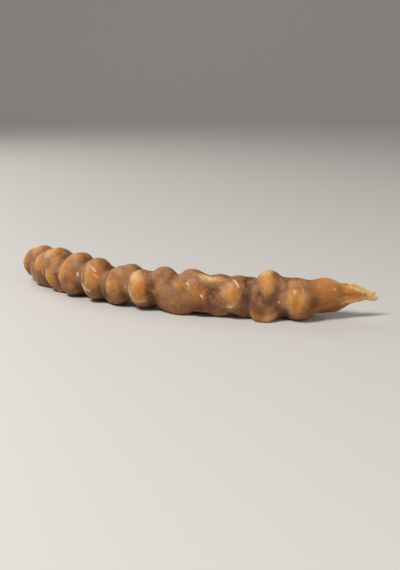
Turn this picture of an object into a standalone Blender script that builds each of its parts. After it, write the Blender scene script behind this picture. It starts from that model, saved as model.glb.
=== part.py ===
"""A churchkhela lying on a table.

Walnut halves are strung on a thread, dipped again and again in thickened grape must, and hung to dry. The
must sets as one tough skin that bulges over every walnut lobe. The strand lies in a gentle curl. At its drip
end the must is drawn out to a flat tongue, torn so that a flake of it sticks out. Its upper end is closed.

Metres, +Z up. +X runs along the strand towards the torn tip, -Y is the outer side of the curl, and the origin
is on the table, under the middle of the strand's bounding box.

A place on the strand is given as along, front and up: the distance along its axis from the tip of the flake,
the distance from the axis towards the outer side of the curl, and the distance above the axis.
"""

import math

import bmesh
import bpy
import numpy as np

MM = 0.001

# The strand as a whole
LENGTH = 0.300
AXIS_HEIGHT = 0.0135
TIP_RISE = 0.0016
TIP_RISE_START = 0.0460
TIP_RISE_END = 0.0120
TIP_HEADING = math.radians(-16.0)
CURL_PER_METRE = math.radians(250.0)
ROUTE_STEP = 0.0005

# The dried must between the walnuts
CORE_RADIUS = 0.0100
CORE_UP = 0.0007
CORE_DROP = 0.0014
CORE_DROP_START = 0.0460
CORE_DROP_END = 0.0280
BLEND = 0.0050
DRIP_START = 0.0168
DRIP_END = 0.0318
FLAT_START = 0.0120
FLAT_END = 0.0500
FLAT_HALF_WIDTH = 0.0024
THINNEST = 0.01
BLUNT_LENGTH = 0.0190

# The flat tongue at the drip end
TONGUE_START = 0.0092
TONGUE_HALF_LENGTH = 0.0145
TONGUE_HALF_HEIGHT = 0.0066
TONGUE_HALF_THICKNESS = 0.0022
TONGUE_TILT = math.radians(20.0)
TONGUE_ARCH = 0.0019
TONGUE_BLEND = 0.0036

# Walnut lobes that bulge on the outer side and the top: millimetres along, degrees round from the outer side
# towards the top, then in millimetres the reach from the axis, the half length along and the half width round
SHOWN_LOBES = (
    (38.0, 96.0, 13.0, 11.0, 9.0),
    (57.0, 96.0, 13.4, 11.0, 8.0),
    (55.0, 8.0, 16.0, 9.8, 12.0),
    (51.5, -36.0, 15.0, 8.4, 9.0),
    (73.0, 80.0, 18.7, 8.6, 9.5),
    (73.5, 40.0, 14.6, 7.4, 8.0),
    (76.5, -40.0, 20.4, 8.0, 8.5),
    (94.0, 96.0, 13.7, 6.8, 8.0),
    (96.0, 14.0, 15.6, 9.4, 10.5),
    (106.5, 76.0, 14.2, 7.0, 8.5),
    (108.0, -62.0, 13.8, 9.0, 8.5),
    (118.5, 18.0, 15.0, 10.5, 12.5),
    (125.5, 74.0, 16.9, 9.0, 10.0),
    (133.0, -46.0, 16.8, 9.6, 9.5),
    (143.0, 18.0, 12.9, 9.5, 10.0),
    (146.5, 80.0, 16.5, 8.0, 10.0),
    (160.0, 12.0, 16.4, 9.4, 12.5),
    (173.0, 80.0, 15.7, 7.8, 10.0),
    (179.0, 6.0, 15.6, 9.4, 12.5),
    (199.0, 18.0, 16.6, 10.0, 13.5),
    (204.0, 82.0, 15.6, 8.6, 10.0),
    (222.0, 88.0, 17.2, 8.0, 10.5),
    (222.0, 14.0, 16.2, 10.6, 14.0),
    (242.0, -14.0, 15.4, 9.4, 11.5),
    (249.5, 82.0, 16.6, 9.8, 11.0),
    (257.0, 26.0, 15.8, 9.0, 11.0),
    (266.0, -34.0, 15.4, 8.6, 10.5),
    (272.0, 66.0, 15.0, 8.8, 10.5),
    (281.5, 8.0, 13.6, 8.4, 10.0),
)

# Lobes of the same walnuts on the inner side of the curl, and underneath, where the strand rests on them
FAR_LOBE_START = 0.052
FAR_LOBE_SPACING = 0.0185
FAR_LOBE_ANGLES = (150.0, 212.0)
FAR_LOBE_REACH = (0.0136, 0.0174)
UNDER_LOBE_ANGLES = (258.0, 284.0)
UNDER_LOBE_REACH = (0.0134, 0.0146)
LOBE_HALF_LENGTH = (0.0078, 0.0094)
LOBE_HALF_WIDTH = (0.0088, 0.0112)
LOBE_DEPTH = 0.0085
LOBE_RANGE = 0.0200
SEED = 7

# The flake of torn must: its outline in millimetres, along and up
FLAKE_OUTLINE = (
    (22.0, 6.2),
    (16.9, 8.2),
    (12.4, 5.6),
    (7.9, 3.3),
    (5.0, 2.5),
    (3.0, 2.3),
    (1.9, 0.7),
    (3.1, -0.6),
    (0.0, -1.9),
    (0.5, -3.7),
    (3.0, -4.7),
    (5.7, -4.3),
    (9.0, -3.6),
    (16.0, -1.5),
    (22.0, 1.0),
)
FLAKE_FRONT = -0.0014
FLAKE_THICKNESS = 0.0016

# Fineness of the solid
RINGS = 152
SIDES = 30
END_CROWDING = 0.35
SEARCH_RADIUS = 0.024
HALVINGS = 14
SHARP_ANGLE = math.radians(70.0)

MUST_COLOUR = (0.33, 0.15, 0.055, 1.0)
MUST_ROUGHNESS = 0.42


def clear_scene():
    for obj in list(bpy.data.objects):
        bpy.data.objects.remove(obj, do_unlink=True)


def route():
    """Distances along the axis, its x and y there, and its heading, which turns evenly from the tip on."""
    along = np.arange(0.0, LENGTH + ROUTE_STEP, ROUTE_STEP)
    heading = TIP_HEADING + CURL_PER_METRE * along
    middle = (heading[1:] + heading[:-1]) / 2
    x = -np.concatenate([[0.0], np.cumsum(np.cos(middle) * ROUTE_STEP)])
    y = np.concatenate([[0.0], np.cumsum(np.sin(middle) * ROUTE_STEP)])
    return along, x, y, heading


def smooth_share(value, start, end):
    """Goes smoothly from 0 at start to 1 at end."""
    share = np.clip((value - start) / (end - start), 0.0, 1.0)
    return share * share * (3.0 - 2.0 * share)


def axis_height(along):
    """Height of the axis above the table, which lifts a little into the tongue."""
    return AXIS_HEIGHT + TIP_RISE * smooth_share(along, TIP_RISE_START, TIP_RISE_END)


def to_world(along, front, up):
    """Points of the table's frame, as an array of x, y, z rows, before the strand is centred."""
    route_along, route_x, route_y, route_heading = route()
    heading = np.interp(along, route_along, route_heading)
    x = np.interp(along, route_along, route_x) - np.sin(heading) * front
    y = np.interp(along, route_along, route_y) - np.cos(heading) * front
    z = np.maximum(axis_height(along) + up, 0.0)
    return np.stack([x, y, z], axis=-1)


def lobes():
    """Every walnut lobe as along, angle, reach, half length and half width, in metres and radians."""
    found = [
        (along * MM, math.radians(angle), reach * MM, length * MM, width * MM)
        for along, angle, reach, length, width in SHOWN_LOBES
    ]
    draw = np.random.default_rng(SEED)
    for along in np.arange(FAR_LOBE_START, LENGTH - BLUNT_LENGTH / 2, FAR_LOBE_SPACING):
        for angles, reach in (
            (FAR_LOBE_ANGLES, FAR_LOBE_REACH),
            (UNDER_LOBE_ANGLES, UNDER_LOBE_REACH),
        ):
            found.append(
                (
                    along + draw.uniform(-0.3, 0.3) * FAR_LOBE_SPACING,
                    math.radians(draw.uniform(*angles)),
                    draw.uniform(*reach),
                    draw.uniform(*LOBE_HALF_LENGTH),
                    draw.uniform(*LOBE_HALF_WIDTH),
                )
            )
    return found


def ellipsoid(offsets, halves):
    """Distance to an ellipsoid about the origin, below zero inside, close to true near its surface."""
    first = np.sqrt(sum((o / h) ** 2 for o, h in zip(offsets, halves))) + 1e-9
    second = np.sqrt(sum((o / (h * h)) ** 2 for o, h in zip(offsets, halves))) + 1e-9
    return first * (first - 1.0) / second


def joined(first, second, blend):
    """Distance to two forms with the must filling the valley between them."""
    share = np.clip(0.5 + 0.5 * (second - first) / blend, 0.0, 1.0)
    return second * (1.0 - share) + first * share - blend * share * (1.0 - share)


def rounded_off(past, length):
    """Goes from 1 to 0 as past goes from 0 to length, along a quarter of an ellipse."""
    return np.sqrt(np.clip(1.0 - (np.maximum(past, 0.0) / length) ** 2, THINNEST**2, 1.0))


def core(along, front, up):
    """The must round the thread: a cord, pressed flat to a point at the drip end, round at the other."""
    end = rounded_off(along - (LENGTH - BLUNT_LENGTH), BLUNT_LENGTH)
    drip = np.sqrt(np.maximum(smooth_share(along, DRIP_START, DRIP_END), THINNEST**2))
    flat = smooth_share(along, FLAT_START, FLAT_END)
    half_width = FLAT_HALF_WIDTH + (CORE_RADIUS - FLAT_HALF_WIDTH) * flat
    middle = CORE_UP - CORE_DROP * smooth_share(along, CORE_DROP_START, CORE_DROP_END)
    return ellipsoid((front, up - middle), (half_width * drip * end, CORE_RADIUS * drip * end))


def tongue(along, front, up):
    """The flat tongue at the drip end, arched up in its middle, its lower edge leaning outwards."""
    lengthwise = along - TONGUE_START - TONGUE_HALF_LENGTH
    arch = TONGUE_ARCH * np.clip(1.0 - (lengthwise / TONGUE_HALF_LENGTH) ** 2, 0.0, 1.0)
    across = front * math.cos(TONGUE_TILT) + up * math.sin(TONGUE_TILT)
    height = up * math.cos(TONGUE_TILT) - front * math.sin(TONGUE_TILT) - arch
    offsets = (lengthwise, across, height)
    return ellipsoid(offsets, (TONGUE_HALF_LENGTH, TONGUE_HALF_THICKNESS, TONGUE_HALF_HEIGHT))


def must_distance(along, front, up, all_lobes):
    """Distance to the strand's skin, below zero inside."""
    distance = core(along, front, up)
    for lobe_along, angle, reach, half_length, half_width in all_lobes:
        near = np.abs(along - lobe_along) < LOBE_RANGE
        outward = front[near] * math.cos(angle) + up[near] * math.sin(angle)
        round_it = up[near] * math.cos(angle) - front[near] * math.sin(angle)
        offsets = (along[near] - lobe_along, outward - (reach - LOBE_DEPTH), round_it)
        lobe = ellipsoid(offsets, (half_length, LOBE_DEPTH, half_width))
        distance[near] = joined(distance[near], lobe, BLEND)
    return joined(distance, tongue(along, front, up), TONGUE_BLEND)


def skin_radius(along, angle):
    """Distance from the axis to the skin, found by halving, at each distance along and angle round."""
    all_lobes = lobes()
    inner = np.zeros_like(along)
    outer = np.full_like(along, SEARCH_RADIUS)
    for _ in range(HALVINGS):
        middle = (inner + outer) / 2
        distance = must_distance(along, middle * np.cos(angle), middle * np.sin(angle), all_lobes)
        inner = np.where(distance < 0.0, middle, inner)
        outer = np.where(distance < 0.0, outer, middle)
    return (inner + outer) / 2


def strand_mesh():
    """A sphere whose poles go to the two ends and whose rings are pushed out to the skin."""
    mesh = bpy.data.meshes.new("churchkhela")
    bm = bmesh.new()
    bmesh.ops.create_uvsphere(bm, u_segments=SIDES, v_segments=RINGS, radius=1.0)
    unit = np.array([v.co for v in bm.verts])
    share = np.arccos(np.clip(unit[:, 2], -1.0, 1.0)) / math.pi
    crowded = share - END_CROWDING * np.sin(2 * math.pi * share) / (2 * math.pi)
    along = TONGUE_START + crowded * (LENGTH - TONGUE_START)
    angle = np.arctan2(unit[:, 1], unit[:, 0])
    radius = skin_radius(along, angle)
    points = to_world(along, radius * np.cos(angle), radius * np.sin(angle))
    for vert, point in zip(bm.verts, points):
        vert.co = point
    bmesh.ops.recalc_face_normals(bm, faces=bm.faces)
    bm.to_mesh(mesh)
    bm.free()
    return mesh


def flake_mesh():
    """The flake: its outline as a flat curve, given its thickness, and laid along the strand's tip."""
    outline = bpy.data.curves.new("flake_outline", "CURVE")
    outline.dimensions = "2D"
    outline.fill_mode = "BOTH"
    outline.extrude = FLAKE_THICKNESS / 2
    spline = outline.splines.new("POLY")
    spline.points.add(len(FLAKE_OUTLINE) - 1)
    for point, (along, up) in zip(spline.points, FLAKE_OUTLINE):
        point.co = (along * MM, up * MM, 0.0, 1.0)
    spline.use_cyclic_u = True
    shape = bpy.data.objects.new("flake_outline", outline)
    bpy.context.scene.collection.objects.link(shape)
    graph = bpy.context.evaluated_depsgraph_get()
    mesh = bpy.data.meshes.new_from_object(shape.evaluated_get(graph))
    bpy.data.objects.remove(shape)
    bpy.data.curves.remove(outline)
    bm = bmesh.new()
    bm.from_mesh(mesh)
    bmesh.ops.remove_doubles(bm, verts=bm.verts, dist=1e-6)
    flat = np.array([v.co for v in bm.verts])
    points = to_world(flat[:, 0], flat[:, 2] + FLAKE_FRONT, flat[:, 1])
    for vert, point in zip(bm.verts, points):
        vert.co = point
    bmesh.ops.recalc_face_normals(bm, faces=bm.faces)
    bm.to_mesh(mesh)
    bm.free()
    return mesh


def must_material():
    material = bpy.data.materials.new("dried_grape_must")
    material.use_nodes = True
    shader = material.node_tree.nodes["Principled BSDF"]
    shader.inputs["Base Color"].default_value = MUST_COLOUR
    shader.inputs["Roughness"].default_value = MUST_ROUGHNESS
    shader.inputs["Metallic"].default_value = 0.0
    return material


def centre_on_table(mesh):
    """Moves the mesh so that the middle of its bounding box is over the origin."""
    points = np.array([v.co for v in mesh.vertices])
    middle = (points.min(axis=0) + points.max(axis=0)) / 2
    for vert in mesh.vertices:
        vert.co.x -= middle[0]
        vert.co.y -= middle[1]


def build():
    clear_scene()
    parts = bpy.data.collections.new("churchkhela")
    bpy.context.scene.collection.children.link(parts)
    strand = bpy.data.objects.new("churchkhela", strand_mesh())
    parts.objects.link(strand)
    flake = bpy.data.objects.new("flake", flake_mesh())
    parts.objects.link(flake)

    fuse = strand.modifiers.new("fuse_flake", "BOOLEAN")
    fuse.operation = "UNION"
    fuse.solver = "EXACT"
    fuse.object = flake
    bpy.context.view_layer.update()
    graph = bpy.context.evaluated_depsgraph_get()
    fused = bpy.data.meshes.new_from_object(strand.evaluated_get(graph))
    strand.modifiers.remove(fuse)
    bpy.data.objects.remove(flake)
    strand.data = fused
    fused.name = "churchkhela"
    centre_on_table(fused)
    fused.materials.clear()
    fused.materials.append(must_material())
    fused.shade_smooth()
    fused.set_sharp_from_angle(angle=SHARP_ANGLE)


build()
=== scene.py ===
import math

import bmesh
import bpy
import numpy as np
from mathutils import Matrix, Vector, geometry, noise


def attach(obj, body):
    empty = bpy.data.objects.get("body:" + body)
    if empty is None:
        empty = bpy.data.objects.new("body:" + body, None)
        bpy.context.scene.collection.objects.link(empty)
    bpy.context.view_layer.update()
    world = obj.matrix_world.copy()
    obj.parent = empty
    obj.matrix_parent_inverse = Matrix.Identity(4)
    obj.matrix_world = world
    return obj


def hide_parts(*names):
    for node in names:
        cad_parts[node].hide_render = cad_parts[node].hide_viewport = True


# The look of a churchkhela: a strand of walnuts under one skin of dried grape must. Metres and radians,
# unless a value is said to be in millimetres or degrees. A place on the strand is given as along, front and
# up: the distance along its axis from the tip of the flake, the distance from the axis towards the outer side
# of the curl, and the distance above the axis. An angle round the strand goes from the outer side to the top.

MM = 0.001

# The strand as a whole, as the solid has it
LENGTH = 0.300
AXIS_HEIGHT = 0.0135
TIP_RISE = 0.0016
TIP_RISE_START = 0.0460
TIP_RISE_END = 0.0120
TIP_HEADING = math.radians(-16.0)
CURL_PER_METRE = math.radians(250.0)
ROUTE_STEP = 0.0005

# The dried must between the walnuts
CORE_RADIUS = 0.0100
CORE_UP = 0.0007
CORE_DROP = 0.0014
CORE_DROP_START = 0.0460
CORE_DROP_END = 0.0280
BLEND = 0.0050
DRIP_START = 0.0168
DRIP_END = 0.0318
FLAT_START = 0.0120
FLAT_END = 0.0500
FLAT_HALF_WIDTH = 0.0024
THINNEST = 0.01
BLUNT_LENGTH = 0.0190

# The flat tongue at the drip end
TONGUE_START = 0.0092
TONGUE_HALF_LENGTH = 0.0145
TONGUE_HALF_HEIGHT = 0.0066
TONGUE_HALF_THICKNESS = 0.0022
TONGUE_TILT = math.radians(20.0)
TONGUE_ARCH = 0.0019
TONGUE_BLEND = 0.0036

# Walnut lobes on the outer side and the top: millimetres along, degrees round, then in millimetres the reach,
# the half length along and the half width round
SHOWN_LOBES = (
    (38.0, 96.0, 13.0, 11.0, 9.0),
    (57.0, 96.0, 13.4, 11.0, 8.0),
    (55.0, 8.0, 16.0, 9.8, 12.0),
    (51.5, -36.0, 15.0, 8.4, 9.0),
    (73.0, 80.0, 18.7, 8.6, 9.5),
    (73.5, 40.0, 14.6, 7.4, 8.0),
    (76.5, -40.0, 20.4, 8.0, 8.5),
    (94.0, 96.0, 13.7, 6.8, 8.0),
    (96.0, 14.0, 15.6, 9.4, 10.5),
    (106.5, 76.0, 14.2, 7.0, 8.5),
    (108.0, -62.0, 13.8, 9.0, 8.5),
    (118.5, 18.0, 15.0, 10.5, 12.5),
    (125.5, 74.0, 16.9, 9.0, 10.0),
    (133.0, -46.0, 16.8, 9.6, 9.5),
    (143.0, 18.0, 12.9, 9.5, 10.0),
    (146.5, 80.0, 16.5, 8.0, 10.0),
    (160.0, 12.0, 16.4, 9.4, 12.5),
    (173.0, 80.0, 15.7, 7.8, 10.0),
    (179.0, 6.0, 15.6, 9.4, 12.5),
    (199.0, 18.0, 16.6, 10.0, 13.5),
    (204.0, 82.0, 15.6, 8.6, 10.0),
    (222.0, 88.0, 17.2, 8.0, 10.5),
    (222.0, 14.0, 16.2, 10.6, 14.0),
    (242.0, -14.0, 15.4, 9.4, 11.5),
    (249.5, 82.0, 16.6, 9.8, 11.0),
    (257.0, 26.0, 15.8, 9.0, 11.0),
    (266.0, -34.0, 15.4, 8.6, 10.5),
    (272.0, 66.0, 15.0, 8.8, 10.5),
    (281.5, 8.0, 13.6, 8.4, 10.0),
)

# Where the skin is thin over a walnut and looks golden: millimetres along, degrees round, half length in
# millimetres, half width in degrees, and how golden
GOLD_SPOTS = (
    (19.0, -48.0, 9.0, 26.0, 0.95),
    (25.0, 76.0, 9.0, 32.0, 0.95),
    # Painted light: these two spots lighten the tongue's front face, which lies in shade
    (26.0, 0.0, 6.0, 22.0, 0.85),
    (30.5, 30.0, 7.0, 32.0, 0.70),
    (34.0, 80.0, 11.0, 26.0, 0.60),
    (55.0, 8.0, 7.5, 36.0, 1.00),
    (56.5, 50.0, 6.5, 18.0, 0.50),
    (73.5, 48.0, 5.4, 36.0, 0.88),
    (73.5, -42.0, 6.5, 18.0, 0.80),
    (74.0, 84.0, 6.5, 16.0, 0.85),
    (82.0, -30.0, 5.0, 14.0, 0.40),
    (95.5, 17.0, 6.6, 34.0, 0.86),
    (103.5, 16.0, 5.0, 28.0, 0.35),
    (105.0, 64.0, 5.0, 14.0, 0.60),
    (109.5, 42.0, 4.5, 12.0, 0.42),
    (114.5, 4.0, 6.0, 18.0, 0.34),
    (122.0, 38.0, 8.0, 24.0, 0.30),
    (126.0, 76.0, 7.0, 18.0, 0.26),
    (126.0, 6.0, 5.2, 22.0, 0.48),
    (131.0, 34.0, 6.0, 26.0, 0.60),
    (133.0, -24.0, 8.0, 22.0, 0.30),
    (142.0, 14.0, 8.0, 26.0, 0.32),
    (144.0, 66.0, 6.0, 18.0, 0.22),
    (156.5, -14.0, 6.5, 18.0, 0.70),
    (159.0, 22.0, 7.0, 36.0, 0.84),
    (176.5, 44.0, 5.4, 20.0, 0.45),
    (179.0, 10.0, 6.2, 28.0, 0.56),
    (197.0, 16.0, 6.8, 36.0, 0.56),
    (198.5, 56.0, 6.4, 18.0, 0.24),
    (220.5, 70.0, 6.0, 20.0, 0.70),
    (221.5, 36.0, 5.0, 18.0, 0.55),
    (227.0, 28.0, 6.0, 44.0, 0.80),
    (230.5, 4.0, 4.6, 26.0, 0.70),
    (233.0, 64.0, 6.0, 20.0, 0.45),
    (241.0, 50.0, 6.0, 24.0, 0.55),
    (242.0, -8.0, 6.8, 30.0, 0.80),
    (249.0, 66.0, 7.0, 24.0, 0.85),
    (257.0, 24.0, 6.4, 26.0, 0.85),
    (266.0, -30.0, 6.2, 24.0, 0.80),
    (272.0, 60.0, 6.2, 24.0, 0.75),
    (281.5, 8.0, 6.0, 32.0, 0.85),
)

# Where a dull, pinkish bloom lies on the skin, in the same terms. The long one at 115 along is partly a
# painted highlight along the top of the lobes there
BLOOM_SPOTS = (
    (48.0, 16.0, 3.5, 30.0, 0.50),
    (48.0, 62.0, 5.0, 26.0, 0.65),
    (56.0, 54.0, 6.0, 14.0, 0.50),
    (63.5, 6.0, 4.5, 34.0, 0.75),
    (65.5, 56.0, 4.0, 30.0, 0.85),
    (73.0, -46.0, 5.0, 12.0, 0.60),
    (74.0, 98.0, 6.0, 10.0, 0.40),
    (81.5, 38.0, 3.6, 24.0, 0.80),
    (95.0, -20.0, 5.5, 14.0, 0.60),
    (103.5, 14.0, 5.0, 30.0, 0.55),
    (106.0, 60.0, 4.5, 12.0, 0.70),
    # Partly bloom, partly a painted highlight along the top
    (115.0, 66.0, 7.5, 10.0, 0.90),
    (131.0, 10.0, 5.0, 26.0, 0.40),
    (134.5, 42.0, 6.0, 24.0, 0.85),
    (141.0, 14.0, 8.0, 28.0, 0.85),
    (169.5, 24.0, 5.0, 50.0, 0.75),
    (187.5, 24.0, 5.5, 52.0, 0.80),
    (210.5, 24.0, 5.5, 50.0, 0.80),
    (215.0, 50.0, 5.0, 24.0, 0.60),
    (231.0, 56.0, 5.0, 30.0, 0.50),
    (250.0, 20.0, 5.0, 40.0, 0.70),
)

# Where the skin is painted dark brown, in the same terms: partly where the must lies thick, and partly
# painted shade on the underside, below the tongue and in valleys beside the lobes
DARK_AND_SHADE_SPOTS = (
    (14.0, -96.0, 14.0, 34.0, 1.00),
    (33.0, -58.0, 12.0, 24.0, 0.65),
    (38.0, -16.0, 4.0, 14.0, 0.28),
    (42.5, 78.0, 4.0, 13.0, 0.25),
    (44.5, -10.0, 5.0, 50.0, 0.55),
    (68.0, 2.0, 3.2, 18.0, 0.36),
    (74.0, 2.0, 7.5, 16.0, 0.70),
    (78.5, -14.0, 6.0, 13.0, 0.75),
    (86.5, 16.0, 4.0, 40.0, 0.60),
    (109.0, 28.0, 3.5, 24.0, 0.20),
    (110.0, -10.0, 5.0, 24.0, 0.38),
    (115.6, 35.0, 3.2, 12.0, 0.30),
    (117.0, -26.0, 11.0, 18.0, 0.55),
    (132.5, 0.0, 3.0, 14.0, 0.24),
    (144.5, -8.0, 4.4, 24.0, 0.28),
    (146.0, 50.0, 6.0, 16.0, 0.28),
    (151.5, 8.0, 4.6, 40.0, 0.62),
    (160.0, -76.0, 150.0, 30.0, 0.50),
    (170.5, 34.0, 4.0, 22.0, 0.36),
    (173.0, 22.0, 3.2, 20.0, 0.34),
    (185.5, 2.0, 3.5, 40.0, 0.50),
    (191.5, 32.0, 4.0, 34.0, 0.28),
    (210.0, 6.0, 5.0, 50.0, 0.28),
    (217.0, 4.0, 4.0, 16.0, 0.28),
)

# Where the tongue's upper edge is torn and as pale as the flake, in the same terms
STRAW_SPOTS = (
    (10.8, 82.0, 2.6, 40.0, 0.95),
    (14.5, 92.0, 4.2, 28.0, 0.80),
    (18.5, 96.0, 4.5, 20.0, 0.60),
)

# Where the must is thin enough to glow a deeper amber, in the same terms
AMBER_SPOTS = (
    (16.5, 28.0, 5.6, 36.0, 1.00),
    (21.0, 22.0, 4.5, 18.0, 0.35),
    (37.0, 74.0, 6.0, 20.0, 0.35),
    (53.0, 30.0, 2.2, 14.0, 0.60),
    (56.2, -2.0, 2.6, 24.0, 0.80),
    (69.5, 60.0, 3.2, 20.0, 0.45),
    (78.0, -32.0, 4.5, 11.0, 0.70),
    (93.6, 22.0, 3.6, 20.0, 0.55),
    (97.5, 5.0, 3.4, 14.0, 0.45),
    (116.5, 16.0, 6.5, 24.0, 0.55),
    (135.0, -30.0, 6.0, 14.0, 0.30),
    (156.2, 12.0, 3.2, 30.0, 0.85),
    (169.0, 58.0, 6.0, 20.0, 0.35),
    (176.0, 8.0, 4.2, 26.0, 0.60),
    (188.5, 34.0, 5.0, 24.0, 0.35),
    (194.5, 28.0, 6.0, 38.0, 0.72),
    (198.0, 58.0, 6.0, 22.0, 0.50),
    (216.0, 8.0, 4.0, 30.0, 0.45),
    (239.0, -14.0, 3.8, 24.0, 0.50),
    (240.0, 48.0, 6.0, 22.0, 0.40),
    (246.0, 74.0, 3.6, 20.0, 0.50),
    (254.0, 18.0, 3.6, 24.0, 0.60),
    (269.0, 54.0, 3.4, 20.0, 0.50),
    (278.5, 2.0, 3.2, 24.0, 0.50),
)

# Where the skin is thinnest over a walnut and looks pale and creamy, in the same terms. Some of these, on the
# tops of lobes and of the tongue, are painted highlights where the light falls
CREAM_SPOTS = (
    (11.0, -50.0, 2.6, 40.0, 0.80),
    (16.5, -60.0, 5.0, 20.0, 0.90),
    (23.0, -40.0, 5.0, 17.0, 0.90),
    # Painted highlight on the tongue's top
    (28.0, 85.0, 8.0, 17.0, 0.85),
    (51.6, 22.0, 3.0, 18.0, 0.60),
    (57.0, -26.0, 4.0, 12.0, 0.50),
    (60.5, 0.0, 2.6, 26.0, 0.45),
    (72.5, -34.0, 4.4, 10.0, 1.00),
    (75.5, 76.0, 5.0, 16.0, 0.80),
    (95.0, -10.0, 5.0, 12.0, 0.42),
    (97.0, 44.0, 2.8, 12.0, 0.50),
    (101.2, 24.0, 3.0, 18.0, 0.42),
    # Painted highlight: a pale band along the top, from about 106 to 120 along
    (113.0, 61.0, 7.4, 15.0, 0.95),
    (123.6, 32.0, 3.0, 16.0, 0.50),
    (163.0, 40.0, 5.0, 24.0, 0.85),
    (163.0, 2.0, 2.8, 26.0, 0.45),
    (182.8, 16.0, 3.2, 28.0, 0.60),
    (200.5, 4.0, 3.0, 26.0, 0.45),
    (202.0, 38.0, 4.0, 22.0, 0.62),
    (232.0, 28.0, 4.0, 28.0, 0.50),
    (245.0, 4.0, 3.6, 20.0, 0.50),
    (250.5, 54.0, 4.4, 20.0, 0.60),
    (260.0, 34.0, 3.6, 20.0, 0.60),
    (269.0, -22.0, 3.6, 18.0, 0.50),
    (284.0, 20.0, 3.6, 24.0, 0.50),
)

# Spots on the lobes that the photograph doesn't show: how strong, how large against the lobe, and how far off
# its middle, in millimetres along and degrees round
FAR_GOLD = ((0.50, 1.00), 0.85, (0.0, 0.0))
# The cream is set off along and upwards, towards the light, where it is partly a painted highlight
FAR_CREAM = ((0.20, 0.80), 0.42, (3.4, 10.0))
# The amber is set off the other way, where its deeper tone is partly painted shade
FAR_AMBER = ((0.20, 0.80), 0.48, (-3.0, -8.0))

# How far from its middle a spot ends, and how far it is at its strongest, against its half sizes
SPOT_END, SPOT_FULL = 1.45, 0.12

# Where along the strand the tongue's orange starts to show, and where it has taken over
TONGUE_TINT_START, TONGUE_TINT_FULL = 0.062, 0.030

# Lobes on the inner side of the curl, and underneath, where the strand rests on them
FAR_LOBE_START = 0.052
FAR_LOBE_SPACING = 0.0185
FAR_LOBE_SHIFT = 0.3
FAR_LOBE_ANGLES = (150.0, 212.0)
FAR_LOBE_REACH = (0.0136, 0.0174)
UNDER_LOBE_ANGLES = (258.0, 284.0)
UNDER_LOBE_REACH = (0.0134, 0.0146)
LOBE_HALF_LENGTH = (0.0078, 0.0094)
LOBE_HALF_WIDTH = (0.0088, 0.0112)
LOBE_DEPTH = 0.0085
LOBE_RANGE = 0.0200
SEED = 7

# Creases and torn rims of skin that stand a little proud: their places along (millimetres) and round
# (degrees), then how high and how wide they are in millimetres, and how pale. One that is less than wholly
# pale is broken
CREASES = (
    # Rim and hollow of the tongue, a crack behind it and a chip on its top
    (((31, 4), (27.5, -14), (24, -38), (21, -50)), 0.45, 1.3, 0.35),
    (((21.5, -50), (18, -61), (14, -67), (10.4, -63), (9.8, -20)), 0.60, 1.1, 1.0),
    (((34, 26), (26, 18), (18, 8), (11, 0)), -1.00, 2.0, 0.0),
    (((46, 22), (42, 21), (38.5, 17)), 0.12, 0.5, 0.6),
    (((32.2, 45), (29.8, 40)), 0.25, 0.9, 1.0),
    # Front lobe at 55
    (((54, 50), (51.8, 38), (51.5, 28), (52.6, 19)), 0.22, 0.8, 0.6),
    (((59.5, 30), (60, 14), (59, -5)), 0.15, 0.8, 0.5),
    (((57, 36), (56.5, 22)), 0.15, 0.9, 0.6),
    # Side of the tall lobe at 73
    (((88, 64), (86.4, 75), (84, 88)), 0.25, 0.7, 0.8),
    (((66.8, 3), (66, -4)), 0.15, 0.7, 0.9),
    # Low lobe at 76
    (((80, -50), (75, -48), (71.5, -38)), 0.25, 1.4, 0.6),
    # Front lobe at 96: its torn right rim and its lower rim
    (((96.5, 62), (94, 53), (92, 42), (91, 28)), 0.45, 1.1, 1.0),
    (((99.5, -10), (97.8, -18), (95, -17), (92, -5)), 0.42, 1.6, 0.85),
    (((91, 24), (91, 10), (91.8, -6)), 0.25, 0.8, 0.5),
    # Spots on the lobe at 118
    (((114.9, 9), (114.1, 5)), 0.40, 1.2, 1.0),
    (((124.9, 38), (123.0, 28)), 0.25, 1.0, 0.95),
    # This wide pale crease is partly a painted highlight along the top of the lobes
    (((121, 72), (117, 67), (112, 61), (107, 58), (102, 60)), 0.20, 2.6, 0.55),
    # Front lobe at 160: its left rim, doubled below
    (
        ((167.5, 50), (166.4, 34), (165.8, 18), (164.8, 0), (162.8, -14), (159.5, -26), (155, -32)),
        0.40,
        1.2,
        0.75,
    ),
    (((170.0, 24), (169.0, 8), (167.5, -8)), 0.28, 1.1, 0.60),
    (((160.5, -18), (157, -24), (152.5, -24)), 0.22, 1.1, 0.85),
    # Front lobe at 179
    (((186.5, 20), (186, 6), (184, -8), (180.5, -20)), 0.30, 1.2, 0.65),
    # Front lobe at 199: its left rim, the fold inside it and two scratches
    (((211, 60), (208.5, 42), (206.5, 18), (204.5, 0), (201, -22), (196, -32)), 0.42, 1.1, 0.70),
    (((204.8, 8), (204.2, -4), (200.5, -12), (196, -17)), 0.34, 1.3, 0.90),
    (((200.2, 48), (196.6, 41), (193.4, 35)), 0.25, 0.9, 1.0),
    (((196, 30), (191.8, 21)), 0.22, 0.9, 0.75),
    (((213, 26), (211.5, 16)), 0.30, 1.1, 1.0),
    # Front lobe at 222
    (((232, 30), (232.5, 8), (230.5, -16), (226, -34)), 0.32, 0.9, 0.6),
    # Front lobes past the photograph's edge
    (((250.5, 10), (251, -8), (249, -30)), 0.32, 0.9, 0.65),
    (((265, 44), (265.4, 24), (263, 6)), 0.28, 0.8, 0.6),
    (((257, 96), (258.5, 76), (256.5, 60)), 0.30, 0.8, 0.6),
    (((288, 26), (288.5, 4), (285, -14)), 0.28, 0.8, 0.6),
)
CREASE_STEP = 0.0003
CREASE_REACH = 0.0035
CREASE_PALE_FALL = 1.4

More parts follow.
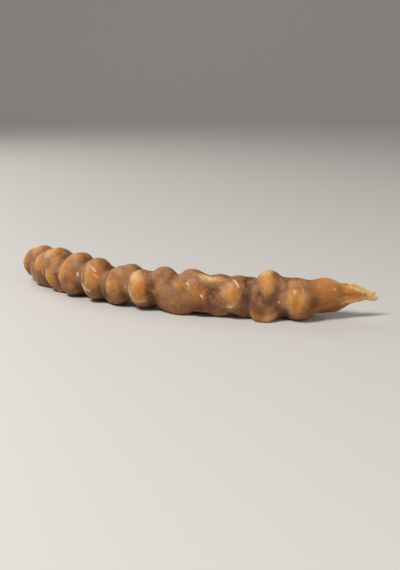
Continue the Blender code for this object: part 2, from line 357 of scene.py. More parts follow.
# A crease at one side of each lobe that the photograph doesn't show
FAR_CREASE_RING = (0.80, 1.05)
FAR_CREASE_SWEEP = (60.0, 130.0)
FAR_CREASE_HEIGHT = (0.20, 0.38)
FAR_CREASE_WIDTH = (0.70, 1.10)
FAR_CREASE_PALE = (0.50, 0.85)
FAR_CREASE_POINTS = 6

# Relief all over the skin: how high it is and how far apart its bumps are. It fades out at the two ends,
# where the skin is nearer to the axis than this radius
FULL_RELIEF_RADIUS = 0.006
SAG_HEIGHT, SAG_SPACING = 0.00048, 0.0088
WRINKLE_HEIGHT, WRINKLE_SPACING = 0.00019, 0.0033
RIB_HEIGHT, RIB_SPACING, RIB_STRETCH = 0.00013, 0.0019, 3.5

# The flake of torn must: its outline in millimetres, along and up
FLAKE_OUTLINE = (
    (22.0, 6.2),
    (16.9, 8.2),
    (12.4, 5.6),
    (7.9, 3.3),
    (5.0, 2.5),
    (3.0, 2.3),
    (1.9, 0.7),
    (3.1, -0.6),
    (0.0, -1.9),
    (0.5, -3.7),
    (3.0, -4.7),
    (5.7, -4.3),
    (9.0, -3.6),
    (16.0, -1.5),
    (22.0, 1.0),
)
FLAKE_FRONT = -0.0014
FLAKE_THICKNESS = 0.0016
FLAKE_STEP = 0.00040
FLAKE_BEVEL_START, FLAKE_BEVEL = -0.0002, 0.0022
FLAKE_PALE_EDGE = 0.0012
FLAKE_GRID_GAP = 0.6
FLAKE_RAGGED, FLAKE_RAGGED_SPACING = 0.00032, 0.0008
FLAKE_RAGGED_OFFSETS = (0.0031, 0.0077)
FLAKE_WAVE, FLAKE_WAVE_SPACING = 0.00028, 0.0060
FLAKE_FIBRE, FLAKE_FIBRE_SPACING, FLAKE_FIBRE_STRETCH = 0.00012, 0.0010, 7.0

# How wide the forms are that a valley is measured against, and how hollow it is where it starts and is deep.
# These set where the painted shade of the valleys starts and is full
HOLLOW_SPREAD = 0.0060
HOLLOW_REACH = 2.5
VALLEY_HOLLOW = (-0.0010, 0.0016)

# Fineness of the skin
RINGS = 640
SIDES = 150
END_CROWDING = 0.30
SEARCH_RADIUS = 0.024
HALVINGS = 16

# Colours of the must, from the golden skin over a walnut to the brown of the valleys
GOLD = (0.53, 0.247, 0.069, 1.0)
HONEY = (0.42, 0.145, 0.020, 1.0)
TAN = (0.318, 0.147, 0.059, 1.0)
UMBER = (0.226, 0.095, 0.034, 1.0)
BROWN = (0.088, 0.023, 0.004, 1.0)
MAUVE = (0.128, 0.058, 0.031, 1.0)
ORANGE = (0.44, 0.160, 0.034, 1.0)
AMBER = (0.43, 0.146, 0.012, 1.0)
CREAM = (0.62, 0.382, 0.175, 1.0)
PALE = (0.71, 0.49, 0.29, 1.0)
BLOOM = (0.37, 0.190, 0.090, 1.0)
STRAW = (0.70, 0.475, 0.195, 1.0)

# How strongly each layer of colour lies over the must
LAYERS = {
    "shadow": 0.80,
    "orange": 0.88,
    "bloom": 0.80,
    "honey": 0.60,
    "cream": 0.85,
    "amber": 0.88,
    "frost": 0.35,
    "wrinkle": 0.45,
    "torn": 0.85,
    "dust": 0.16,
    "speck": 0.60,
    "fibre": 0.28,
    "flake_edge": 0.55,
    "flake_patch": 0.35,
}

# How far apart the patches, mottles and other marks of the colours are. The two shares scale the places down,
# which draws the streaks out round the strand and the fibres along it
PATCH_GAP, MOTTLE_GAP, GRAIN_GAP, CHIP_GAP, STREAK_GAP = 0.0075, 0.0022, 0.0007, 0.0017, 0.0016
SHADE_GAP, WRINKLE_GAP, DUST_GAP, SPECK_GAP = 0.0130, 0.0042, 0.0015, 0.0036
FIBRE_GAP, FLAKE_MOTTLE_GAP = 0.0008, 0.0030
STREAK_SHARE, FIBRE_SHARE = 0.3, 0.2
FLAKE_ORANGE_START, FLAKE_ORANGE_FULL = 0.0130, 0.0210

# How high the finest relief is, which is in the materials alone
SKIN_BUMP, FLAKE_BUMP = 0.00028, 0.00022

# The stage, the lights and the place of the photograph's camera
FLOOR_COLOUR = (0.575, 0.558, 0.535, 1.0)
FLOOR_FRONT, FLOOR_BACK, FLOOR_HALF_WIDTH = -2.5, 1.6, 4.0
SWEEP_RADIUS, SWEEP_STEPS, SWEEP_TOP = 1.2, 24, 3.5
WORLD_COLOUR = (1.0, 0.975, 0.94, 1.0)
WORLD_STRENGTH = 0.21
LAMP_TARGET = (0.0, 0.0, 0.01)
# Soft daylight from the upper left, a weak light from behind and a weak fill from the right: each lamp's
# name, place, size, power in watts and colour
LAMPS = (
    ("window", (-0.75, -0.75, 1.40), 0.55, 31.5, (1.0, 0.98, 0.95)),
    ("back_light", (-0.70, 0.75, 0.60), 0.60, 3.5, (1.0, 0.97, 0.93)),
    ("fill", (0.75, -0.85, 0.55), 0.70, 2.5, (1.0, 0.97, 0.93)),
)
CAMERA_PLACE = Vector((0.0826, -0.7455, 0.182))
CAMERA_TARGET = Vector((0.0085, 0.0, 0.010))
LENS = 68.5
CLIP_START = 0.01
LONG_SENSOR = 36.0


def route():
    """Distances along the axis, its x and y there, and its heading, which turns evenly from the tip on."""
    along = np.arange(0.0, LENGTH + ROUTE_STEP, ROUTE_STEP)
    heading = TIP_HEADING + CURL_PER_METRE * along
    middle = (heading[1:] + heading[:-1]) / 2
    x = -np.concatenate([[0.0], np.cumsum(np.cos(middle) * ROUTE_STEP)])
    y = np.concatenate([[0.0], np.cumsum(np.sin(middle) * ROUTE_STEP)])
    return along, x, y, heading


def smooth_share(value, start, end):
    """Goes smoothly from 0 at start to 1 at end."""
    share = np.clip((value - start) / (end - start), 0.0, 1.0)
    return share * share * (3.0 - 2.0 * share)


def axis_height(along):
    """Height of the axis above the table, which lifts a little into the tongue."""
    return AXIS_HEIGHT + TIP_RISE * smooth_share(along, TIP_RISE_START, TIP_RISE_END)


def to_world(along, front, up):
    """Points of the table's frame, as an array of x, y, z rows, before the strand is centred."""
    route_along, route_x, route_y, route_heading = route()
    heading = np.interp(along, route_along, route_heading)
    x = np.interp(along, route_along, route_x) - np.sin(heading) * front
    y = np.interp(along, route_along, route_y) - np.cos(heading) * front
    z = np.maximum(axis_height(along) + up, 0.0)
    return np.stack([x, y, z], axis=-1)


def lobes():
    """Every walnut lobe as along, angle, reach, half length and half width, in metres and radians."""
    found = [
        (along * MM, math.radians(angle), reach * MM, length * MM, width * MM)
        for along, angle, reach, length, width in SHOWN_LOBES
    ]
    draw = np.random.default_rng(SEED)
    for along in np.arange(FAR_LOBE_START, LENGTH - BLUNT_LENGTH / 2, FAR_LOBE_SPACING):
        for angles, reach in (
            (FAR_LOBE_ANGLES, FAR_LOBE_REACH),
            (UNDER_LOBE_ANGLES, UNDER_LOBE_REACH),
        ):
            found.append(
                (
                    along + draw.uniform(-FAR_LOBE_SHIFT, FAR_LOBE_SHIFT) * FAR_LOBE_SPACING,
                    math.radians(draw.uniform(*angles)),
                    draw.uniform(*reach),
                    draw.uniform(*LOBE_HALF_LENGTH),
                    draw.uniform(*LOBE_HALF_WIDTH),
                )
            )
    return found


def ellipsoid(offsets, halves):
    """Distance to an ellipsoid about the origin, below zero inside, close to true near its surface."""
    first = np.sqrt(sum((o / h) ** 2 for o, h in zip(offsets, halves))) + 1e-9
    second = np.sqrt(sum((o / (h * h)) ** 2 for o, h in zip(offsets, halves))) + 1e-9
    return first * (first - 1.0) / second


def joined(first, second, blend):
    """Distance to two forms with the must filling the valley between them."""
    share = np.clip(0.5 + 0.5 * (second - first) / blend, 0.0, 1.0)
    return second * (1.0 - share) + first * share - blend * share * (1.0 - share)


def rounded_off(past, length):
    """Goes from 1 to 0 as past goes from 0 to length, along a quarter of an ellipse."""
    return np.sqrt(np.clip(1.0 - (np.maximum(past, 0.0) / length) ** 2, THINNEST**2, 1.0))


def core(along, front, up):
    """The must round the thread: a cord, pressed flat to a point at the drip end, round at the other."""
    end = rounded_off(along - (LENGTH - BLUNT_LENGTH), BLUNT_LENGTH)
    drip = np.sqrt(np.maximum(smooth_share(along, DRIP_START, DRIP_END), THINNEST**2))
    flat = smooth_share(along, FLAT_START, FLAT_END)
    half_width = FLAT_HALF_WIDTH + (CORE_RADIUS - FLAT_HALF_WIDTH) * flat
    middle = CORE_UP - CORE_DROP * smooth_share(along, CORE_DROP_START, CORE_DROP_END)
    return ellipsoid((front, up - middle), (half_width * drip * end, CORE_RADIUS * drip * end))


def tongue(along, front, up):
    """The flat tongue at the drip end, arched up in its middle, its lower edge leaning outwards."""
    lengthwise = along - TONGUE_START - TONGUE_HALF_LENGTH
    arch = TONGUE_ARCH * np.clip(1.0 - (lengthwise / TONGUE_HALF_LENGTH) ** 2, 0.0, 1.0)
    across = front * math.cos(TONGUE_TILT) + up * math.sin(TONGUE_TILT)
    height = up * math.cos(TONGUE_TILT) - front * math.sin(TONGUE_TILT) - arch
    offsets = (lengthwise, across, height)
    return ellipsoid(offsets, (TONGUE_HALF_LENGTH, TONGUE_HALF_THICKNESS, TONGUE_HALF_HEIGHT))


def lobe_offsets(lobe, along, front, up):
    """Distances from a lobe's middle: along the strand, outwards and round it."""
    lobe_along, angle, reach = lobe[:3]
    outward = front * math.cos(angle) + up * math.sin(angle)
    round_it = up * math.cos(angle) - front * math.sin(angle)
    return along - lobe_along, outward - (reach - LOBE_DEPTH), round_it


def must_distance(along, front, up, all_lobes):
    """Distance to the strand's skin, below zero inside."""
    distance = core(along, front, up)
    for lobe in all_lobes:
        near = np.abs(along - lobe[0]) < LOBE_RANGE
        offsets = lobe_offsets(lobe, along[near], front[near], up[near])
        bulge = ellipsoid(offsets, (lobe[3], LOBE_DEPTH, lobe[4]))
        distance[near] = joined(distance[near], bulge, BLEND)
    return joined(distance, tongue(along, front, up), TONGUE_BLEND)


def skin_radius(along, angle, all_lobes):
    """Distance from the axis to the skin, found by halving, at each distance along and angle round."""
    inner = np.zeros_like(along)
    outer = np.full_like(along, SEARCH_RADIUS)
    for _ in range(HALVINGS):
        middle = (inner + outer) / 2
        distance = must_distance(along, middle * np.cos(angle), middle * np.sin(angle), all_lobes)
        inner = np.where(distance < 0.0, middle, inner)
        outer = np.where(distance < 0.0, outer, middle)
    return (inner + outer) / 2


def straight_places(along, angle, radius):
    """Places on the strand as if it lay straight: rows of along, front and up."""
    return np.stack([along, radius * np.cos(angle), radius * np.sin(angle)], axis=-1)


def with_far_spots(spots, far_kind, all_lobes, seed):
    """The spots, and one of the far kind, its strength drawn by lot, on each lobe that isn't shown."""
    draw = np.random.default_rng(seed)
    strengths, size, (off_along, off_angle) = far_kind
    found = list(spots)
    for along, angle, reach, half_length, half_width in all_lobes[len(SHOWN_LOBES) :]:
        place = (along / MM + off_along, math.degrees(angle) + off_angle)
        halves = (half_length / MM * size, math.degrees(half_width / reach) * size)
        found.append((*place, *halves, draw.uniform(*strengths)))
    return found


def spotted(along, angle, spots):
    """How far each place lies within the spots, each of which fades out round its middle."""
    found = np.zeros_like(along)
    for spot_along, spot_angle, half_length, half_angle, strength in spots:
        round_off = (np.degrees(angle) - spot_angle + 180.0) % 360.0 - 180.0
        spread = np.hypot((along / MM - spot_along) / half_length, round_off / half_angle)
        found = np.maximum(found, strength * smooth_share(spread, SPOT_END, SPOT_FULL))
    return found


def averaged(rings, spread):
    """The values of the rings, each mixed with those about it, along the strand and round it."""
    for axis, border, step in ((0, "edge", LENGTH / RINGS), (1, "wrap", 2 * math.pi * CORE_RADIUS / SIDES)):
        reach = int(HOLLOW_REACH * spread / step)
        weights = np.exp(-0.5 * (np.arange(-reach, reach + 1) * step / spread) ** 2)
        widths = [(0, 0), (0, 0)]
        widths[axis] = (reach, reach)
        padded = np.pad(rings, widths, mode=border)
        size = rings.shape[axis]
        parts = (w * padded.take(range(i, i + size), axis) for i, w in enumerate(weights / weights.sum()))
        rings = sum(parts)
    return rings


def hollow(radius):
    """How far each place lies in a valley between the lobes: above zero there, and below it on a lobe."""
    rings = radius[1:-1].reshape(RINGS - 1, SIDES)
    deep = (averaged(rings, HOLLOW_SPREAD) - rings).ravel()
    return np.concatenate([[0.0], deep, [0.0]])


def far_creases(all_lobes):
    """A crease round a part of every lobe that has none listed, drawn by lot from the seed."""
    draw = np.random.default_rng(SEED + 1)
    found = []
    for along, angle, reach, half_length, half_width in all_lobes[len(SHOWN_LOBES) :]:
        ring = draw.uniform(*FAR_CREASE_RING)
        start = draw.uniform(0.0, 2 * math.pi)
        turn = start + np.linspace(0.0, math.radians(draw.uniform(*FAR_CREASE_SWEEP)), FAR_CREASE_POINTS)
        places = np.stack(
            [
                (along + ring * half_length * np.cos(turn)) / MM,
                np.degrees(angle + ring * half_width / reach * np.sin(turn)),
            ],
            axis=-1,
        )
        height = draw.uniform(*FAR_CREASE_HEIGHT)
        width = draw.uniform(*FAR_CREASE_WIDTH)
        found.append((places, height, width, draw.uniform(*FAR_CREASE_PALE)))
    return found


def rounded_path(path, cuts=3):
    """The path with its corners cut off again and again, until it is a smooth curve."""
    points = np.array(path, dtype=float)
    for _ in range(cuts):
        early = points[:-1] * 0.75 + points[1:] * 0.25
        late = points[:-1] * 0.25 + points[1:] * 0.75
        cut = np.stack([early, late], axis=1).reshape(-1, 2)
        points = np.vstack([points[:1], cut, points[-1:]])
    return points


def crease_places(path, all_lobes):
    """Evenly spaced places on the skin along a crease, as rows of along, front and up."""
    points = rounded_path(path)
    along, angle = points[:, 0] * MM, np.radians(points[:, 1])
    corners = straight_places(along, angle, skin_radius(along, angle, all_lobes))
    run = np.concatenate([[0.0], np.cumsum(np.linalg.norm(np.diff(corners, axis=0), axis=1))])
    even = np.linspace(0.0, run[-1], max(int(run[-1] / CREASE_STEP), 2))
    return np.stack([np.interp(even, run, corners[:, axis]) for axis in range(3)], axis=-1)


def creased(straight, all_lobes):
    """How far the creases lift the skin at each place, and how pale they make it."""
    lift = np.zeros(len(straight))
    pale = np.zeros(len(straight))
    for path, height, width, crease_pale in (*CREASES, *far_creases(all_lobes)):
        places = crease_places(path, all_lobes)
        first, last = places[:, 0].min() - CREASE_REACH, places[:, 0].max() + CREASE_REACH
        near = np.where((straight[:, 0] > first) & (straight[:, 0] < last))[0]
        gaps = np.linalg.norm(straight[near, None, :] - places[None, :, :], axis=-1)
        nearest = gaps.argmin(axis=1)
        spread = (gaps.min(axis=1) / (width * MM)) ** 2
        fade = np.sqrt(np.sin(math.pi * (nearest + 1.0) / (len(places) + 1.0)))
        lift[near] += height * MM * fade * (1.0 - spread) * np.exp(-spread)
        pale[near] = np.maximum(pale[near], crease_pale * fade * np.exp(-CREASE_PALE_FALL * spread))
    return lift, pale


def bumps(places, spacing, octaves=2):
    """Smooth noise about zero at the places, with bumps of about the spacing and finer ones on them."""
    found = np.zeros(len(places))
    for octave in range(octaves):
        scaled = places * (2.0**octave / spacing)
        found += np.array([noise.noise(Vector(place)) for place in scaled]) / 2.0**octave
    return found


def relief(straight, gold):
    """How far the skin stands out from the plain form: sags, wrinkles, and ribs over the walnuts."""
    ribbed = straight * (1.0, 1.0 / RIB_STRETCH, 1.0 / RIB_STRETCH)
    lift = SAG_HEIGHT * bumps(straight, SAG_SPACING)
    lift += WRINKLE_HEIGHT * bumps(straight + SAG_SPACING, WRINKLE_SPACING)
    lift += RIB_HEIGHT * gold * bumps(ribbed, RIB_SPACING, 1)
    return lift


def add_values(mesh, name, values):
    attribute = mesh.attributes.new(name, "FLOAT", "POINT")
    attribute.data.foreach_set("value", np.asarray(values, dtype=np.float32))


def add_places(mesh, name, places):
    attribute = mesh.attributes.new(name, "FLOAT_VECTOR", "POINT")
    attribute.data.foreach_set("vector", np.asarray(places, dtype=np.float32).ravel())


def skin_faces():
    """Faces from ring to ring, and a fan at each end. The first point is one end, the last is the other."""
    last = 1 + SIDES * (RINGS - 1)
    faces = []
    for side in range(SIDES):
        after = (side + 1) % SIDES
        faces.append((0, 1 + after, 1 + side))
        faces.append((last, last - SIDES + side, last - SIDES + after))
        for ring in range(RINGS - 2):
            start = 1 + ring * SIDES
            faces.append((start + side, start + after, start + SIDES + after, start + SIDES + side))
    return faces


def skin_mesh(all_lobes):
    """The strand's skin as a fine mesh with its relief, and the values that its material reads."""
    share = np.linspace(0.0, 1.0, RINGS + 1)
    crowded = share - END_CROWDING * np.sin(2 * math.pi * share) / (2 * math.pi)
    turn = np.arange(SIDES) * (2 * math.pi / SIDES)
    along, angle = np.meshgrid(TONGUE_START + crowded * (LENGTH - TONGUE_START), turn, indexing="ij")
    one_each_end = slice(SIDES - 1, 1 - SIDES)
    along, angle = along.ravel()[one_each_end], angle.ravel()[one_each_end]
    plain_radius = skin_radius(along, angle, all_lobes)
    straight = straight_places(along, angle, plain_radius)
    gold = spotted(along, angle, with_far_spots(GOLD_SPOTS, FAR_GOLD, all_lobes, SEED + 2))
    amber = with_far_spots(AMBER_SPOTS, FAR_AMBER, all_lobes, SEED + 3)
    cream = with_far_spots(CREAM_SPOTS, FAR_CREAM, all_lobes, SEED + 4)
    lift, pale = creased(straight, all_lobes)
    thin = smooth_share(plain_radius, 0.0, FULL_RELIEF_RADIUS)
    radius = plain_radius + (lift + relief(straight, gold)) * thin
    points = to_world(along, radius * np.cos(angle), radius * np.sin(angle))
    mesh = bpy.data.meshes.new("must_skin")
    mesh.from_pydata(points.tolist(), [], skin_faces())
    add_places(mesh, "straight", straight)
    add_values(mesh, "gold", gold)
    add_values(mesh, "pale", pale)
    # How deep in a valley each place lies, which sets where the painted shade goes
    add_values(mesh, "valley", thin * smooth_share(hollow(plain_radius), *VALLEY_HOLLOW))
    add_values(mesh, "dark", spotted(along, angle, DARK_AND_SHADE_SPOTS))
    add_values(mesh, "bloom", spotted(along, angle, BLOOM_SPOTS))
    add_values(mesh, "amber", spotted(along, angle, amber))
    add_values(mesh, "cream", spotted(along, angle, cream))
    add_values(mesh, "straw", spotted(along, angle, STRAW_SPOTS))
    add_values(mesh, "tongue", smooth_share(along, TONGUE_TINT_START, TONGUE_TINT_FULL))
    mesh.shade_smooth()
    return mesh


def ragged_outline():
    """The flake's outline in small steps, torn in and out: rows of along and up."""
    corners = np.array(FLAKE_OUTLINE) * MM
    outline = []
    for start, end in zip(corners, np.roll(corners, -1, axis=0)):
        steps = max(int(np.linalg.norm(end - start) / FLAKE_STEP), 1)
        outline += [start + (end - start) * step / steps for step in range(steps)]
    outline = np.array(outline)
    flat = np.column_stack([outline, np.zeros(len(outline))])
    shift = [bumps(flat + offset, FLAKE_RAGGED_SPACING, 1) for offset in FLAKE_RAGGED_OFFSETS]
    return outline + FLAKE_RAGGED * np.column_stack(shift)


def inside(places, outline):
    """Which places lie inside the outline, by how often it crosses a line to their right."""
    found = np.zeros(len(places), dtype=bool)
    for (x0, y0), (x1, y1) in zip(outline, np.roll(outline, -1, axis=0)):
        crosses = (y0 > places[:, 1]) != (y1 > places[:, 1])
        if y0 != y1:
            at = x0 + (places[:, 1] - y0) * (x1 - x0) / (y1 - y0)
            found ^= crosses & (places[:, 0] < at)
    return found


def flake_mesh():
    """The flake: a torn sheet, thin at its edge, wavy and with fibres along it."""
    outline = ragged_outline()
    low, high = outline.min(axis=0), outline.max(axis=0)
    grid = np.stack(
        np.meshgrid(*(np.arange(a, b, FLAKE_STEP) for a, b in zip(low, high)), indexing="ij"), axis=-1
    ).reshape(-1, 2)
    edge_gap = np.linalg.norm(grid[:, None] - outline[None], axis=-1).min(axis=1)
    grid = grid[inside(grid, outline) & (edge_gap > FLAKE_STEP * FLAKE_GRID_GAP)]
    flat = np.vstack([outline, grid])
    ring = [(i, (i + 1) % len(outline)) for i in range(len(outline))]
    flat, _, faces, *_ = geometry.delaunay_2d_cdt([Vector(p) for p in flat], ring, [], 1, 1e-7)
    flat = np.array([tuple(p) for p in flat])
    edge_gap = np.linalg.norm(flat[:, None] - outline[None], axis=-1).min(axis=1)
    thickness = FLAKE_THICKNESS * np.sqrt(smooth_share(edge_gap, FLAKE_BEVEL_START, FLAKE_BEVEL))
    sheet = np.column_stack([flat, np.zeros(len(flat))])
    fibre = bumps(sheet * (1.0 / FLAKE_FIBRE_STRETCH, 1.0, 1.0), FLAKE_FIBRE_SPACING, 1)
    middle = FLAKE_FRONT + FLAKE_WAVE * bumps(sheet, FLAKE_WAVE_SPACING)
    front = middle + thickness / 2 + FLAKE_FIBRE * fibre
    back = middle - thickness / 2 + FLAKE_FIBRE * fibre
    points = np.vstack([to_world(flat[:, 0], side, flat[:, 1]) for side in (front, back)])
    count = len(flat)
    back_faces = [tuple(count + i for i in reversed(face)) for face in faces]
    rim = [(a, b, count + b, count + a) for a, b in ring]
    mesh = bpy.data.meshes.new("torn_flake")
    mesh.from_pydata(points.tolist(), [], [tuple(f) for f in faces] + back_faces + rim)
    bm = bmesh.new()
    bm.from_mesh(mesh)
    bmesh.ops.recalc_face_normals(bm, faces=bm.faces)
    bm.to_mesh(mesh)
    bm.free()
    places = [np.column_stack([flat[:, 0], side, flat[:, 1]]) for side in (front, back)]
    add_places(mesh, "straight", np.vstack(places))
    add_values(mesh, "edge", np.tile(1.0 - smooth_share(edge_gap, 0.0, FLAKE_PALE_EDGE), 2))
    mesh.shade_smooth()
    return mesh


class Look:
    """A material that is built up node by node."""

    def __init__(self, name):
        self.material = bpy.data.materials.new(name)
        self.material.use_nodes = True
        self.nodes = self.material.node_tree.nodes
        self.links = self.material.node_tree.links
        self.shader = self.nodes["Principled BSDF"]

    def put(self, node, name, value):
        """Sets an input of a node, or links it where the value is another node's output."""
        if isinstance(value, bpy.types.NodeSocket):
            self.links.new(value, node.inputs[name])
        else:
            node.inputs[name].default_value = value

    def add(self, kind, inputs, **settings):
        node = self.nodes.new(kind)
        for name, value in settings.items():
            setattr(node, name, value)
        for name, value in inputs.items():
            self.put(node, name, value)
        return node

    def value(self, name):
        """A mesh's own value at each point, such as how golden it is."""
        return self.add("ShaderNodeAttribute", {}, attribute_name=name).outputs["Fac"]

    def place(self, stretch=(1.0, 1.0, 1.0)):
        """The place on the strand as if it lay straight, each axis multiplied by the stretch."""
        source = self.add("ShaderNodeAttribute", {}, attribute_name="straight").outputs["Vector"]
        return self.add("ShaderNodeVectorMath", {0: source, 1: stretch}, operation="MULTIPLY").outputs[0]

    def noise(self, place, spacing, detail=2.0, warp=0.0):
        inputs = {"Vector": place, "Scale": 1.0 / spacing, "Detail": detail, "Distortion": warp}
        return self.add("ShaderNodeTexNoise", inputs).outputs["Fac"]

    def share(self, value, low, high):
        """Goes smoothly from 0 at low to 1 at high."""
        inputs = {"Value": value, "From Min": low, "From Max": high}
        return self.add("ShaderNodeMapRange", inputs, interpolation_type="SMOOTHSTEP").outputs["Result"]

    def maths(self, operation, first, second=0.0):
        return self.add("ShaderNodeMath", {0: first, 1: second}, operation=operation).outputs[0]

    def times(self, first, second):
        return self.maths("MULTIPLY", first, second)

    def mix(self, first, second, share):
        """One colour over another."""
        inputs = {0: share, 6: first, 7: second}
        return self.add("ShaderNodeMix", inputs, data_type="RGBA").outputs[2]

    def over(self, colour, layer, share, strength=1.0):
        """The colour with a layer over it, where the share says and as strongly as given."""
        return self.mix(colour, layer, self.times(share, strength))

    def nudged(self, value, noise_value, amount):
        """The value moved up and down by noise whose middle is a half."""
        return self.maths("ADD", value, self.times(self.maths("SUBTRACT", noise_value, 0.5), amount))

    def broken(self, value, noises, low, high):
        """Goes from 0 at low to 1 at high, with an edge that each noise moves by its amount."""
        for noise_value, amount in noises:
            value = self.nudged(value, noise_value, amount)
        return self.share(value, low, high)

    def total(self, parts):
        """The sum of the values, each multiplied by its weight."""
        found = 0.0
        for value, weight in parts:
            found = self.maths("ADD", found, self.times(value, weight))
        return found

    def specks(self, place, spacing, size, kept):
        """Small round spots, size times their spacing across, of which a share is kept."""
        cells = self.add("ShaderNodeTexVoronoi", {"Vector": place, "Scale": 1.0 / spacing})
        spot = self.share(cells.outputs["Distance"], size, size * 0.4)
        pick = self.add("ShaderNodeSeparateColor", {0: cells.outputs["Color"]}).outputs[0]
        return self.times(spot, self.maths("GREATER_THAN", pick, 1.0 - kept))

    def lines(self, place, spacing, thin, detail=1.0):
        """Thin winding lines, where smooth noise passes through its middle."""
        off = self.maths("ABSOLUTE", self.maths("SUBTRACT", self.noise(place, spacing, detail), 0.5))
        return self.share(off, thin, 0.0)

    def surface(self, inputs):
        """Sets or links inputs of the material's shader."""
        for name, value in inputs.items():
            self.put(self.shader, name, value)

    def glow(self, weight, radius, scale):
        """Lets light into the material, and further in for red than for blue."""
        self.surface({"Subsurface Weight": weight, "Subsurface Radius": radius, "Subsurface Scale": scale})

    def bump(self, height, distance):
        node = self.add("ShaderNodeBump", {"Height": height, "Distance": distance, "Strength": 1.0})
        self.put(self.shader, "Normal", node.outputs[0])


def skin_material():
    """Dried must: golden over the walnuts, grey-brown with painted shade in the valleys, waxy, with pale rims
    and specks, and some painted highlights.
    """
    look = Look("must_skin")
    place = look.place()
    streaked = look.place((1.0, STREAK_SHARE, STREAK_SHARE))
    gold, pale, dark = look.value("gold"), look.value("pale"), look.value("dark")
    patches = look.noise(place, PATCH_GAP)
    mottles = look.noise(place, MOTTLE_GAP, 3.0)
    chips = look.noise(place, CHIP_GAP)
    streaks = look.noise(streaked, STREAK_GAP, 3.0, 0.6)
    shades = look.noise(place, SHADE_GAP, 1.0)

    # The must itself, dark where it lies thick, with painted shade in the valleys between the lobes, and
    # orange on the tongue
    colour = look.mix(UMBER, TAN, look.broken(patches, [(mottles, 0.5)], 0.26, 0.74))
    # Painted shade: the valleys between the lobes are darkened towards brown and mauve, partly for thicker
    # must
    shadow = look.mix(BROWN, MAUVE, look.share(shades, 0.42, 0.58))
    deep = look.broken(look.value("valley"), [(patches, 0.4)], 0.12, 0.92)
    colour = look.over(colour, shadow, deep, LAYERS["shadow"])
    orange = look.broken(look.value("tongue"), [(patches, 0.9)], 0.05, 0.80)
    colour = look.over(colour, ORANGE, orange, LAYERS["orange"])
    # Bloom, with a painted highlight in it near 115 along
    hazy = look.broken(look.value("bloom"), [(patches, 0.5)], 0.05, 1.00)
    colour = look.over(colour, BLOOM, hazy, LAYERS["bloom"])
    # Dark brown for thick must, and painted shade on the underside, below the tongue and beside lobes
    colour = look.over(colour, BROWN, dark)

    # What shows through it over the walnuts, and the cream's painted highlights
    gilded = look.broken(gold, [(patches, 0.36), (mottles, 0.40)], 0.10, 1.0)
    colour = look.over(colour, GOLD, gilded)
    honeyed = look.times(gilded, look.share(streaks, 0.42, 0.75))
    colour = look.over(colour, HONEY, honeyed, LAYERS["honey"])
    # Cream: thin skin over a walnut, and in places a painted highlight
    creamy = look.broken(look.value("cream"), [(mottles, 0.9), (streaks, 0.5)], 0.05, 0.95)
    colour = look.over(colour, CREAM, creamy, LAYERS["cream"])
    glowing = look.broken(look.value("amber"), [(mottles, 0.8)], 0.05, 0.95)
    colour = look.over(colour, AMBER, glowing, LAYERS["amber"])

    # What lies on it: frost, fine wrinkles, torn rims, dust and specks
    frosted = look.share(look.maths("ADD", patches, look.times(mottles, 0.5)), 0.74, 1.00)
    colour = look.over(colour, BLOOM, frosted, LAYERS["frost"])
    wrinkles = look.times(look.lines(streaked, WRINKLE_GAP, 0.016), look.share(mottles, 0.50, 0.70))
    wrinkles = look.times(wrinkles, look.share(gold, 0.75, 0.10))
    colour = look.over(colour, BLOOM, wrinkles, LAYERS["wrinkle"])
    torn = look.times(look.broken(pale, [(chips, 1.6)], 0.20, 0.95), look.share(pale, 0.02, 0.60))
    colour = look.over(colour, PALE, torn, LAYERS["torn"])
    colour = look.over(colour, STRAW, look.broken(look.value("straw"), [(streaks, 0.8)], 0.15, 0.85))
    dust = look.times(look.specks(place, DUST_GAP, 0.30, 0.45), look.share(mottles, 0.44, 0.60))
    colour = look.over(colour, PALE, dust, LAYERS["dust"])
    specks = look.specks(place, SPECK_GAP, 0.12, 0.22)
    colour = look.over(colour, PALE, specks, LAYERS["speck"])

    dull = look.total([(mottles, 1.0), (frosted, 1.0), (dark, 1.0)])
    limits = {"From Min": 0.3, "From Max": 1.3, "To Min": 0.44, "To Max": 0.74}
    rough = look.add("ShaderNodeMapRange", {"Value": dull, **limits}).outputs["Result"]
    look.surface({"Base Color": colour, "Roughness": rough, "Specular IOR Level": 0.26})
    look.glow(0.30, (1.0, 0.42, 0.16), 0.0030)
    grain = look.noise(place, GRAIN_GAP)
    look.bump(
        look.total([(mottles, 1.0), (grain, 0.25), (streaks, 0.7), (wrinkles, 0.35), (specks, 0.3)]),
        SKIN_BUMP,
    )
    return look.material


def flake_material():
    """Must that has torn and dried pale: straw yellow with fibres, and the tongue's orange at its root."""
    look = Look("torn_flake")
    fibres = look.noise(look.place((FIBRE_SHARE, 1.0, 1.0)), FIBRE_GAP, 3.0, 0.4)
    mottles = look.noise(look.place(), FLAKE_MOTTLE_GAP, 3.0)
    along = look.add("ShaderNodeSeparateXYZ", {0: look.place()}).outputs[0]
    colour = look.mix(STRAW, ORANGE, look.share(along, FLAKE_ORANGE_START, FLAKE_ORANGE_FULL))
    colour = look.over(colour, HONEY, look.share(fibres, 0.50, 0.72), LAYERS["fibre"])
    colour = look.over(colour, PALE, look.value("edge"), LAYERS["flake_edge"])
    colour = look.over(colour, PALE, look.share(mottles, 0.55, 0.75), LAYERS["flake_patch"])
    rough = look.share(mottles, 1.6, -0.6)
    look.surface({"Base Color": colour, "Roughness": rough, "Specular IOR Level": 0.40})
    look.glow(0.40, (1.0, 0.55, 0.22), 0.0025)
    look.bump(look.maths("ADD", fibres, look.times(mottles, 0.6)), FLAKE_BUMP)
    return look.material


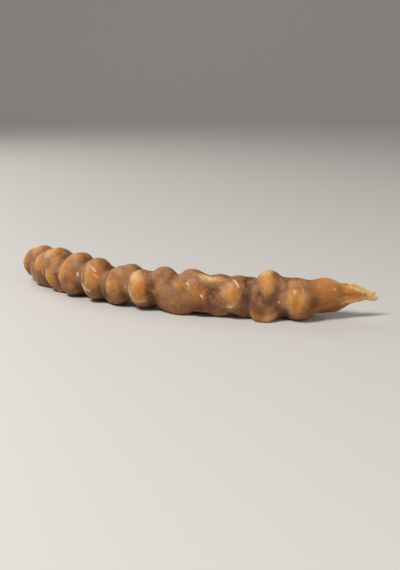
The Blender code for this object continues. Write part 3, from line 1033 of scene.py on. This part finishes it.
def placed(mesh, material, shift):
    """An object of the mesh, moved by the shift, that rides with the strand."""
    mesh.materials.append(material)
    mesh.transform(shift)
    piece = bpy.data.objects.new(mesh.name, mesh)
    bpy.context.scene.collection.objects.link(piece)
    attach(piece, "root")
    return piece


def stage():
    """A plain pale floor that sweeps up behind the strand."""
    turn = np.linspace(0.0, math.pi / 2, SWEEP_STEPS)
    profile = [(FLOOR_FRONT, 0.0)]
    profile += [
        (FLOOR_BACK + SWEEP_RADIUS * math.sin(t), SWEEP_RADIUS * (1.0 - math.cos(t))) for t in turn
    ]
    profile.append((FLOOR_BACK + SWEEP_RADIUS, SWEEP_TOP))
    points = [(x, y, z) for y, z in profile for x in (-FLOOR_HALF_WIDTH, FLOOR_HALF_WIDTH)]
    faces = [(2 * i, 2 * i + 1, 2 * i + 3, 2 * i + 2) for i in range(len(profile) - 1)]
    mesh = bpy.data.meshes.new("floor")
    mesh.from_pydata(points, [], faces)
    mesh.shade_smooth()
    look = Look("floor")
    look.surface({"Base Color": FLOOR_COLOUR, "Roughness": 0.55, "Specular IOR Level": 0.3})
    mesh.materials.append(look.material)
    floor = bpy.data.objects.new("floor", mesh)
    bpy.context.scene.collection.objects.link(floor)


def aimed(thing, place, target):
    """Puts a camera's or a lamp's object at the place, looking at the target."""
    thing.location = place
    thing.rotation_euler = (Vector(target) - Vector(place)).to_track_quat("-Z", "Y").to_euler()
    bpy.context.scene.collection.objects.link(thing)


def lamp(name, place, size, power, colour):
    light = bpy.data.lights.new(name, "AREA")
    light.shape = "SQUARE"
    light.size = size
    light.energy = power
    light.color = colour
    aimed(bpy.data.objects.new(name, light), place, LAMP_TARGET)


def lights():
    """The lamps, and an even pale sky."""
    for row in LAMPS:
        lamp(*row)
    world = bpy.data.worlds.new("sky")
    world.use_nodes = True
    background = world.node_tree.nodes["Background"]
    background.inputs["Color"].default_value = WORLD_COLOUR
    background.inputs["Strength"].default_value = WORLD_STRENGTH
    bpy.context.scene.world = world


def camera():
    """The photograph's point of view, with a longer lens, so that the strand fills the frame's width."""
    data = bpy.data.cameras.new("camera")
    data.lens = LENS
    data.sensor_width = LONG_SENSOR
    data.clip_start = CLIP_START
    thing = bpy.data.objects.new("camera", data)
    aimed(thing, CAMERA_PLACE, CAMERA_TARGET)
    bpy.context.scene.camera = thing


def dress():
    """The strand's skin and its flake, in the solid's place."""
    skin, flake = skin_mesh(lobes()), flake_mesh()
    corners = np.array([v.co for mesh in (skin, flake) for v in mesh.vertices])
    middle = (corners.min(axis=0) + corners.max(axis=0)) / 2
    shift = Matrix.Translation((-middle[0], -middle[1], 0.0))
    skin_piece = placed(skin, skin_material(), shift)
    placed(flake, flake_material(), shift)
    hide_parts("churchkhela")


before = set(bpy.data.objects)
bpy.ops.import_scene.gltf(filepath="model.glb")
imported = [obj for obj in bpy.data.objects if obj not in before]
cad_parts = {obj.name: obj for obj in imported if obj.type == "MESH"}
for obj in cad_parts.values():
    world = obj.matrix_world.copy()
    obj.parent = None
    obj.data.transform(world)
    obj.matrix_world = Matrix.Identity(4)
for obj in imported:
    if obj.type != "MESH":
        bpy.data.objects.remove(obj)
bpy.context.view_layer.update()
bpy.context.scene.view_settings.view_transform = "Standard"
stage()
lights()
camera()
dress()
